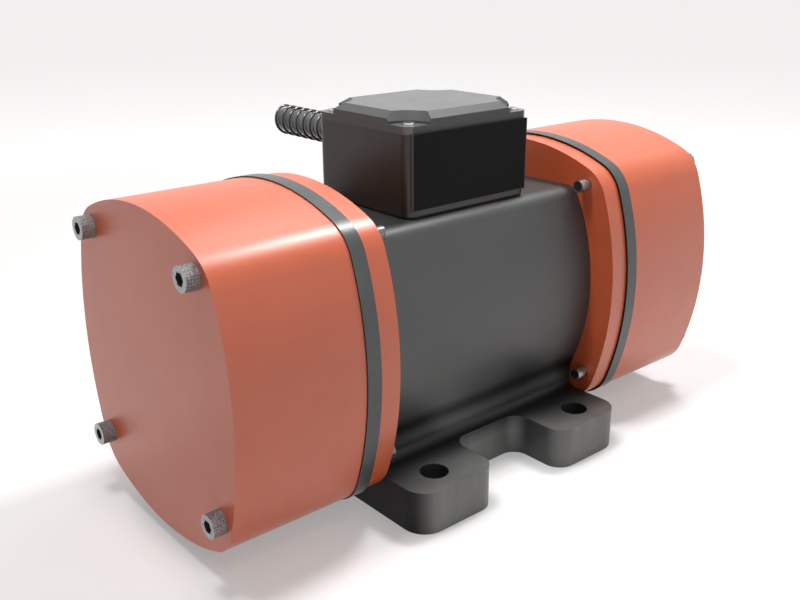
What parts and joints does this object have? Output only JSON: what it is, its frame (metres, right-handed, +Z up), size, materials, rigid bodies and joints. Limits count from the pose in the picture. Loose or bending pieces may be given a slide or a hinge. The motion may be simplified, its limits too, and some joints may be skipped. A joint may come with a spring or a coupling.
{
  "type": "vibration motor",
  "caption": "Foot-mounted electric vibration motor with unbalance weights under deep covers at both shaft ends and a terminal box with a cable entry on top.",
  "frame": {"origin": "centre of the foot hole pattern, on the mounting face under the feet", "axes": "+X along the shaft, +Y towards the cable entry at the back, +Z up from the mounting face"},
  "size_m": [0.303, 0.1924, 0.1705],
  "materials": {
    "housing_grey": "matte",
    "orange": "satin",
    "band_grey": "satin",
    "steel": "satin",
    "core_steel": "satin",
    "bearing_steel": "polished",
    "brass": "satin",
    "copper": "satin",
    "aluminium": "satin",
    "box_plastic": "matte",
    "plate": "satin",
    "black_rubber": "matte",
    "block_plastic": "matte"
  },
  "bodies": {
    "frame": {"motor_housing": "housing_grey", "stator_core": "core_steel", "stator_winding": "copper", "box_gasket": "black_rubber", "terminal_box": "box_plastic", "box_screws": "steel", "lead_bushing": "black_rubber", "box_front_plate": "plate", "terminal_box_lid": "aluminium", "lid_gasket": "black_rubber", "lid_screws": "steel", "terminal_block": "block_plastic", "terminal_studs": "brass", "earth_screw": "brass", "gland_body": "brass", "gland_locknut": "brass", "gland_nut": "brass", "cable_sleeve": "black_rubber", "strain_relief_spring": "steel", "right_bearing_flange": "orange", "right_flange_screws": "steel", "right_outer_race": "bearing_steel", "right_bearing_cap": "steel", "right_cap_screws": "steel", "right_cover_band": "band_grey", "right_weight_cover": "orange", "right_cover_screws": "steel", "left_bearing_flange": "orange", "left_flange_screws": "steel", "left_outer_race": "bearing_steel", "left_bearing_cap": "steel", "left_cap_screws": "steel", "left_cover_band": "band_grey", "left_weight_cover": "orange", "left_cover_screws": "steel"},
    "rotor": {"rotor_shaft": "steel", "rotor_core": "core_steel", "rotor_cage": "aluminium", "right_inner_race": "bearing_steel", "right_spacer_sleeve": "steel", "right_fixed_weight": "steel", "right_weight_key": "steel", "right_scale_disc": "aluminium", "right_shaft_nut": "steel", "left_inner_race": "bearing_steel", "left_spacer_sleeve": "steel", "left_fixed_weight": "steel", "left_weight_key": "steel", "left_scale_disc": "aluminium", "left_shaft_nut": "steel"},
    "right_cage": {"right_ball_cage": "brass", "right_bearing_balls": "bearing_steel"},
    "right_setting": {"right_adjustable_weight": "steel", "right_clamp_bolt": "steel"},
    "left_cage": {"left_ball_cage": "brass", "left_bearing_balls": "bearing_steel"},
    "left_setting": {"left_adjustable_weight": "steel", "left_clamp_bolt": "steel"}
  },
  "joints": [
    {"name": "rotor_spin", "type": "hinge", "parent": "frame", "child": "rotor", "pos_m": [0, 0, 0.075], "axis": [1, 0, 0], "continuous": true},
    {"name": "right_cage_roll", "type": "hinge", "parent": "frame", "child": "right_cage", "pos_m": [0, 0, 0.075], "axis": [1, 0, 0], "continuous": true},
    {"name": "left_cage_roll", "type": "hinge", "parent": "frame", "child": "left_cage", "pos_m": [0, 0, 0.075], "axis": [1, 0, 0], "continuous": true},
    {"name": "right_weight_setting", "type": "hinge", "parent": "rotor", "child": "right_setting", "pos_m": [0, 0, 0.075], "axis": [1, 0, 0], "range_deg": [0, 180]},
    {"name": "left_weight_setting", "type": "hinge", "parent": "rotor", "child": "left_setting", "pos_m": [0, 0, 0.075], "axis": [1, 0, 0], "range_deg": [0, 180]}
  ],
  "couplings": [
    {"joint": "right_cage_roll", "follows": "rotor_spin", "ratio": 0.36782},
    {"joint": "left_cage_roll", "follows": "rotor_spin", "ratio": 0.36782}
  ]
}
